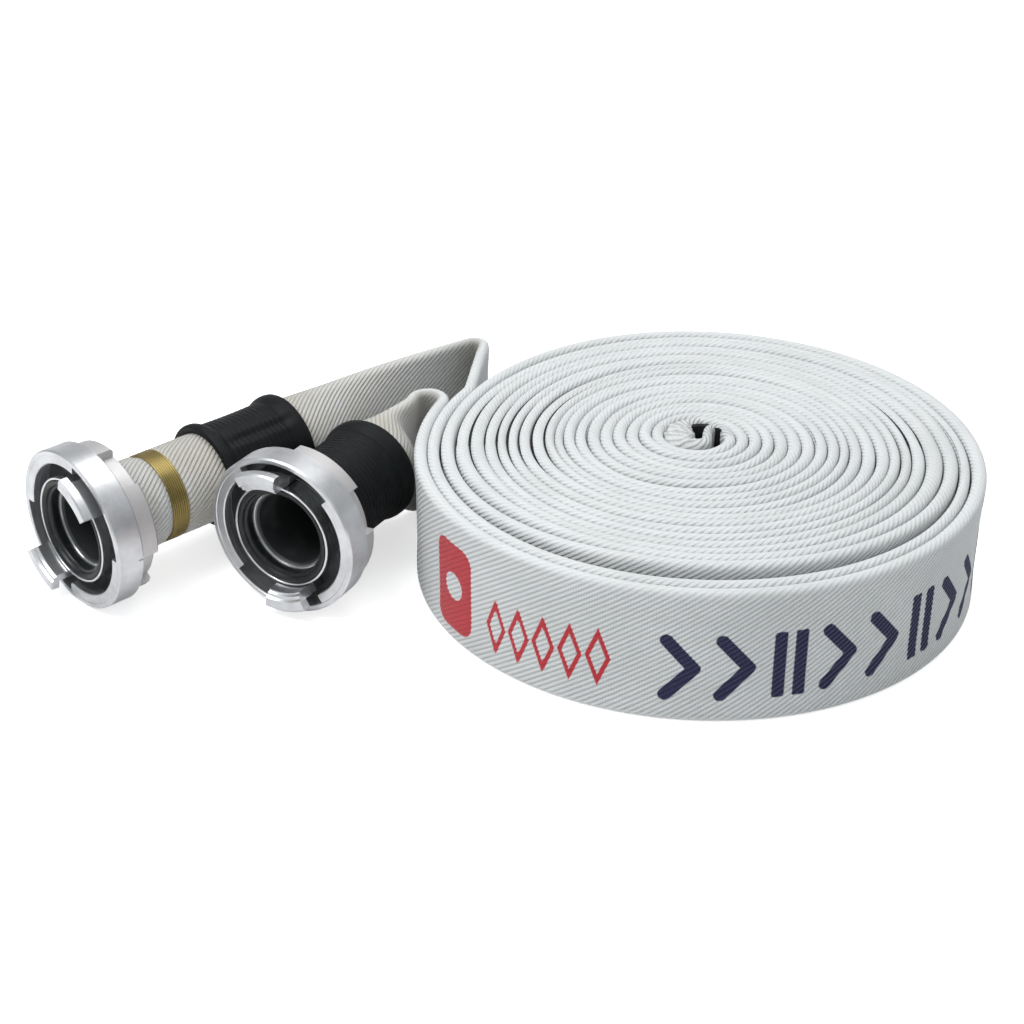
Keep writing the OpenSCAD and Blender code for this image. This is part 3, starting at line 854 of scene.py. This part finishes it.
def core_fold(start_s):
    """The middle of the hose: half A turns tightly back at the eye, runs down the core,
    swells into a crumpled knuckle and climbs out as half B."""
    ax, ay = half_a.coil[-1]
    bx, by = half_b.coil[-1]
    # x, y, thickness factor; the first and last only steer the curve
    core = spline([
        (ax, ay - 7, 1), (ax, ay, 1.0), (19.2, 23.5, 1.05), (17.6, 29.2, 1.0),
        (13.2, 31.4, 0.85), (9.0, 29.2, 0.8), (7.2, 23.6, 0.8), (6.6, 17.5, 0.85),
        (3.4, 11.4, 1.15), (-2.6, 9.4, 1.7), (-8.4, 13.8, 2.45), (-9.6, 21.0, 2.6),
        (-8.4, 28.2, 2.2), (-4.0, 35.8, 1.3), (bx, by, 1.0), (bx + 7, by, 1)])
    total = length(core)
    s = np.linspace(0, total, int(total))
    rings = resample(core, s)
    centres, swell = rings[:, :2], rings[:, 2]
    heading = unit(np.gradient(centres, axis=0))
    for _ in range(3):
        heading[1:-1] = (heading[:-2] + heading[1:-1] + heading[2:]) / 3
    heading = unit(heading)

    # lift and thickness run from half A's last ring to half B's
    (lift_a, thick_a), (lift_b, thick_b) = [
        [values[0] for values in unevenness(
            half.winding_angle(np.array([length(half.wound_path)])), half.layer)[:2]]
        for half in HALVES]
    t = np.linspace(0, 1, len(s))
    girth = columns(FLAT_LENGTH - 14, TOP_END + 14, coarse=14)
    flat_across, flat_up = flat_section(girth)
    across = flat_across * (swell * (thick_a * (1 - t) + thick_b * t))[:, None]
    up = flat_up + (lift_a * (1 - t) + lift_b * t)[:, None]

    # the knuckle: fold edges bulge and the faces crumple
    puff = np.clip((swell - 1.15) / 0.9, 0, 1)[:, None]
    past_edge = np.abs(flat_up) - EDGE_Z
    crumple = puff * (
        waviness(s[:, None] + girth * 0.6, 51, [(6.5, 0.35), (11, 0.4)])
        + waviness(s[:, None] * 0.5 - girth * 1.1, 52, [(5.0, 0.25)]))
    across = across + crumple * np.sign(flat_across)
    up = up + np.sign(flat_up) * (puff * np.maximum(past_edge, 0) * 0.5
                                  + crumple * (past_edge > 0))
    points = place(centres, right_of(heading), across, np.maximum(MID_Z + up, 0.02))
    ones = np.ones(across.shape)
    attributes = {"ribs": ones * 0.8, "warm": ones * 0.15 * puff, "soil": ones * 0}
    return points, hose_uv(start_s + s, girth), attributes


def inner_roll(outer_end):
    """Everything inside the outermost turn."""
    top_columns = columns(FLAT_LENGTH - 9, TOP_END + 9, coarse=14)
    bottom_columns = columns(BOTTOM_START - 3, GIRTH, coarse=14)[::2]
    girth = np.union1d(top_columns, bottom_columns)

    def stations(half, start):
        end = length(half.wound_path)
        return np.linspace(start, end, int((end - start) / (RING_STEP * 2)) + 1)

    s_a, s_b = stations(half_a, 0), stations(half_b, outer_end)
    for name, (points, uv, attributes) in (
            ("hose_half_a", wound_strip(half_a, s_a, girth)),
            ("hose_core_fold", core_fold(s_a[-1])),
            ("hose_half_b", wound_strip(half_b, s_b, girth))):
        ob = ring_mesh(name, points, uv, ROLL_WEAVE, attributes)
        attach(ob, "hose_roll", "jacket_roll")


inner_roll(outer_turn())


# ---------------------------------------------------------------- tails
def tail_rings(half, start, inset=None):
    """Rings from length `start` of the out path to the cut end, going from flat to round.
    Ribbed, or smooth and set inwards by `inset`."""
    total = length(half.out_path)
    s = start + np.arange(0, int((total - start) / RING_STEP) + 1) * RING_STEP
    s = np.r_[s[s < total - 0.3], total]
    centres = resample(half.out_path, s)
    heading = headings(half.out_path, s, reach=0.3)
    back = total - s + HOSE_END                         # behind the coupling's front face
    bend_back = total - half.bend_end + HOSE_END
    flatness = np.clip((back - half.round_back) / (bend_back - half.round_back), 0, 1)
    eased = (1 - flatness) ** 1.25
    roundness = (eased * eased * (3 - 2 * eased) * 0.35 + eased * 0.65)[:, None]

    girth = all_columns()
    press = np.interp(back, [50.6, 52.1, 64.5, 66], [0, BINDING_PRESS, BINDING_PRESS, 0])
    scale = (1 - press / ROUND_RADIUS)[:, None]
    across, up = [(flat * (1 - roundness) + full * roundness) * scale
                  for flat, full in zip(flat_section(girth), round_section(girth))]
    fade = rib_fade(girth) * (1 - roundness) + roundness
    if inset is None:                                   # no ribs under the binding
        clear = np.clip((np.abs(back - BINDING_MIDDLE) - 7.6) / 2.0, 0, 1)[:, None]
        offset = twill(len(s), girth) * RIB_RELIEF * fade * clear
    else:
        offset = -inset
    normal_across, normal_up = section_normals(across, up)
    across = across + offset * normal_across
    height = MID_Z + (AXIS_Z - MID_Z) * roundness + up + offset * normal_up
    return SimpleNamespace(
        s=s, heading=heading, roundness=roundness, fade=fade, across=across,
        points=place(centres, right_of(heading), across, height),
        middle=np.array([*centres[-1], AXIS_Z]), forward=np.array([*heading[-1], 0]),
        uv=hose_uv(s, girth))


def repeat_last(rows, count):
    return np.concatenate([rows, np.repeat(rows[-1:], count, axis=0)])


def fold_line(half, rings):
    """Two points across the bend's centre, one on the roll's side and one on the tail's."""
    if half is half_b:      # this tail lies close to the roll: the line runs down the gap between
        gap = half.face - 95 * half.front + 31.0 * half.side - half.bend_centre
        across = unit(right_of(gap))
        roll_reach, tail_reach = 9.0, 1.5
    else:                   # across the bend, from the run's side of its centre to the tail's
        past_bend = np.searchsorted(rings.s, half.bend_end) + 8
        across = unit(rings.heading[past_bend] + direction(half.leg_heading))
        roll_reach = tail_reach = half.bend_radius * 0.75
    return [(*((half.bend_centre + reach * across) * MM), MID_Z / 1000)
            for reach in (-roll_reach, tail_reach)]


def jacket_tail(half):
    rings = tail_rings(half, half.cut)
    # the cut end turns in to its own thickness, against the shank
    end = rings.points[-1]
    inner = rings.middle + (end - rings.middle) * (25.35 / ROUND_RADIUS)
    closing = np.stack([end * 0.5 + inner * 0.5, inner, inner - rings.forward * 4])
    points = np.concatenate([rings.points, closing])

    turned = np.clip((rings.s - half.bend_start) / (half.bend_end - half.bend_start), 0, 1)
    warm = turned[:, None] * (0.3 + 0.7 * rings.roundness) * np.ones_like(rings.across)
    # painted shade: the inner side of the bend is coloured brown, as shade in the fold
    bend_middle = (half.bend_start + half.bend_end) / 2
    near_bend = np.exp(-((rings.s - bend_middle) / 30.0) ** 2)[:, None]
    soil = near_bend * np.clip(-rings.across, 0, 3) / 3 * 0.75
    attributes = {key: repeat_last(values, 3) for key, values in
                  (("ribs", rings.fade), ("warm", warm), ("soil", soil))}
    ob = ring_mesh("hose_tail_" + half.key, points, repeat_last(rings.uv, 3), TAIL_WEAVE,
                   attributes)
    start, end = fold_line(half, rings)
    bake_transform(ob)
    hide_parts("jacket_tail_" + half.key)


def liner_tail(half):
    """The rubber tube bonded inside the jacket, from just past the bend."""
    rings = tail_rings(half, half.bend_end + 6.0, inset=LINER_INSET)
    shrink = 25.15 / (ROUND_RADIUS - LINER_INSET)
    inner = rings.middle + (rings.points[-1] - rings.middle) * shrink
    points = np.concatenate([rings.points, np.stack([inner, inner - rings.forward * 60])])
    ob = ring_mesh("hose_liner_" + half.key, points, repeat_last(rings.uv, 2), LINER)
    attach(ob, "tail_" + half.key, "liner_tail_" + half.key)


for half in HALVES:
    jacket_tail(half)
for half in HALVES:
    liner_tail(half)


# ---------------------------------------------------------------- pieces about a coupling's axis
def tube(path, radius, segments):
    """Closed round wire along a 3D polyline."""
    heading = unit(np.gradient(path, axis=0))
    normal = np.zeros_like(heading)
    normal[0] = unit(np.cross(heading[0], (0.0, 0.0, 1.0)))
    for k in range(1, len(normal)):                 # carry the frame along
        normal[k] = unit(normal[k - 1] - heading[k] * (normal[k - 1] @ heading[k]))
    binormal = np.cross(heading, normal)
    angle = np.linspace(0, 2 * np.pi, segments, endpoint=False)[None, :, None]
    rings = path[:, None, :] + radius * (np.cos(angle) * normal[:, None, :]
                                         + np.sin(angle) * binormal[:, None, :])
    # a ring shrunk almost to a point closes each end
    first, last = [ring.mean(0) + (ring - ring.mean(0)) * 0.02 for ring in (rings[0], rings[-1])]
    return np.concatenate([first[None], rings, last[None]])


def binding(half):
    """Coil of wire that holds the hose on the shank."""
    turns, pitch, start, wire_radius, segments = 8, 1.44, 52.9, 0.74, 10
    t = np.linspace(0, turns * 2 * np.pi, turns * 80)
    radius = ROUND_RADIUS - BINDING_PRESS + wire_radius + 0.04 * np.sin(t * 3.1)
    angle = t + math.radians(200)
    path = half.local(radius * np.cos(angle), radius * np.sin(angle),
                      start + t / (2 * np.pi) * pitch)
    points = tube(path, wire_radius, segments)
    ob = ring_mesh("binding_coil_" + half.key, points, np.zeros((len(points), segments + 1, 2)),
                   WIRE, quads=True, flip=True)
    attach(ob, "tail_" + half.key, "binding_" + half.key)


SLEEVE_LENGTH = 64.0
SLEEVE_BORE = 27.6
RING_RADIUS = 30.0          # the fine rings between the sleeve's lips
# distance from the sleeve's front end, radius
FRONT_LIP = [
    (0.9, 27.95), (0.3, 28.4), (0.0, 29.3), (0.0, 30.7), (0.35, 31.7), (1.1, 32.3), (2.2, 32.6),
    (3.6, 32.65), (5.0, 32.5), (6.3, 32.0), (7.5, 31.2), (8.6, 30.4), (9.4, 30.05)]
# distance from the sleeve's back end, radius
BACK_LIP = [
    (11.4, 30.1), (10.2, 30.7), (8.8, 31.6), (7.2, 32.3), (5.4, 32.6), (3.2, 32.65),
    (1.6, 32.4), (0.6, 31.8), (0, 30.9), (0, 29.5), (0.3, 28.5), (0.9, 27.95)]


def sleeve_profile(groove_radius):
    profile = list(FRONT_LIP)
    shoulder = groove_radius * 0.7 + RING_RADIUS * 0.3
    at = 10.2
    while at < SLEEVE_LENGTH - 14.5:
        profile += [(at, groove_radius), (at + 0.55, shoulder), (at + 0.95, RING_RADIUS),
                    (at + 1.7, 30.08), (at + 2.45, RING_RADIUS), (at + 2.85, shoulder)]
        at += 3.45
    profile += [(SLEEVE_LENGTH - back, radius) for back, radius in BACK_LIP]
    return np.array(profile)


def sleeve(half, start, groove_radius, creases=()):
    """Moulded rubber sleeve: a flared lip at each end and fine rings between.
    creases: (angle in degrees, depth in mm, width in radians) of soft lengthwise creases."""
    segments = 160
    angle = np.linspace(0, 2 * np.pi, segments, endpoint=False)
    s, radius = np.split(sleeve_profile(groove_radius), 2, axis=1)
    skin = np.clip((radius - 28.2) / 1.5, 0, 1)         # leaves the bore's edge true
    radius = radius + skin * (0.22 * np.sin(2 * angle + 0.6) * np.sin(s / 17)
                              + 0.16 * np.sin(3 * angle + 2.0) * np.sin(s / 9 + 1))
    along = np.clip((s - 6) / 10, 0, 1) * np.clip((60 - s) / 8, 0, 1) * skin
    for at, depth, width in creases:
        away = np.angle(np.exp(1j * (angle - math.radians(at))))
        ridges = 0.45 * np.exp(-((np.abs(away) - 0.17) / 0.08) ** 2)
        radius = radius + (ridges - depth * np.exp(-(away / width) ** 2)) * along
    outside = half.local(radius * np.cos(angle), radius * np.sin(angle), start + s)
    bore_s = np.array([[SLEEVE_LENGTH - 1.5], [SLEEVE_LENGTH * 0.5], [1.5]])
    bore = half.local(SLEEVE_BORE * np.cos(angle), SLEEVE_BORE * np.sin(angle), start + bore_s)
    points = np.concatenate([outside, bore, outside[:1]])
    uv = np.zeros((len(points), segments + 1, 2))
    uv[:, :, 0] = np.linspace(0, 0.1, len(points))[:, None]
    uv[:, :, 1] = np.linspace(0, 0.18, segments + 1)
    ob = ring_mesh("rubber_sleeve_" + half.key, points, uv, RUBBER, quads=True)
    attach(ob, "grip_" + half.key, "sleeve_" + half.key)


for half in HALVES:
    binding(half)
sleeve(half_a, start=93.0, groove_radius=29.75, creases=((58, 1.15, 0.085), (236, 0.7, 0.10)))
sleeve(half_b, start=31.0, groove_radius=29.3)


# ---------------------------------------------------------------- stage (metres)
def build_floor():
    """Pale floor that sweeps up into a wall at the back."""
    half_width, flat_end, sweep, drop = 5.0, 1.6, 1.2, 0.0002
    profile = [(-4.0, 0.0), (flat_end, 0.0)]
    profile += [(flat_end + sweep * math.sin(a), sweep - sweep * math.cos(a))
                for a in np.linspace(0, math.pi / 2, 24)[1:]]
    profile += [(flat_end + sweep, 5.0)]
    verts = [(x, y, z - drop) for y, z in profile for x in (-half_width, half_width)]
    faces = [(2 * k, 2 * k + 1, 2 * k + 3, 2 * k + 2) for k in range(len(profile) - 1)]
    mesh = bpy.data.meshes.new("floor")
    mesh.from_pydata(verts, [], faces)
    mesh.update()
    for polygon in mesh.polygons:
        polygon.use_smooth = True
    floor = add_object("floor", mesh)
    shader = Shader("floor_pale")
    shader.set("Base Color", (0.93, 0.93, 0.93))
    shader.set("Roughness", 0.85)
    shader.set("Specular IOR Level", 0.1)
    shader.set("Emission Color", (1.0, 1.0, 1.0))
    shader.set("Emission Strength", shader.camera_ray() * 0.62)     # glows for the camera only
    mesh.materials.append(shader.material)


def build_world():
    """Cool sky, brighter overhead; the camera sees it at full strength."""
    world = bpy.data.worlds.new("studio")
    world.use_nodes = True
    graph = Graph(world.node_tree)
    height = graph.add("SeparateXYZ", {0: graph.add("TexCoord", output="Generated")}, output=2)
    low, high, dim, bright = -0.05, 0.75, 0.16, 0.62
    sky = graph.add("MapRange", {0: height, 1: low, 2: high, 3: dim, 4: bright})
    strength = graph.add("Mix", {0: graph.camera_ray(), 2: sky, 3: 1.0})
    background = world.node_tree.nodes["Background"]
    graph.put(background.inputs[1], strength)
    graph.put(background.inputs[0], (0.955, 0.98, 1.0))
    bpy.context.scene.world = world


def area_light(name, location, target, size, energy):
    light = bpy.data.lights.new(name, "AREA")
    light.shape = "RECTANGLE"
    light.size, light.size_y = size
    light.energy = energy
    ob = add_object(name, light)
    ob.location = location
    aim = Vector(target) - Vector(location)
    ob.rotation_euler = aim.to_track_quat("-Z", "Y").to_euler()


def build_camera():
    data = bpy.data.cameras.new("camera")
    data.sensor_width = 36
    data.lens = 67.086914
    camera = add_object("camera", data)
    camera.location = (-0.10966, -0.99217, 0.60317)
    camera.rotation_euler = (math.radians(90 - 29.63), 0, 0)     # looks down by 29.63 degrees
    bpy.context.scene.camera = camera


build_floor()
build_world()
area_light("key", (-1.0, -0.35, 1.6), target=(-0.1, 0, 0.05), size=(0.9, 0.9), energy=15)
area_light("top", (0.2, 0.7, 1.9), target=(-0.05, 0.0, 0.05), size=(1.5, 1.0), energy=10.5)
area_light("fill", (-0.5, -1.9, 0.8), target=(-0.1, 0, 0.05), size=(1.0, 0.5), energy=1.3)
build_camera()
view = bpy.context.scene.view_settings
view.view_transform, view.look, view.exposure, view.gamma = "Standard", "None", 0.0, 1.0
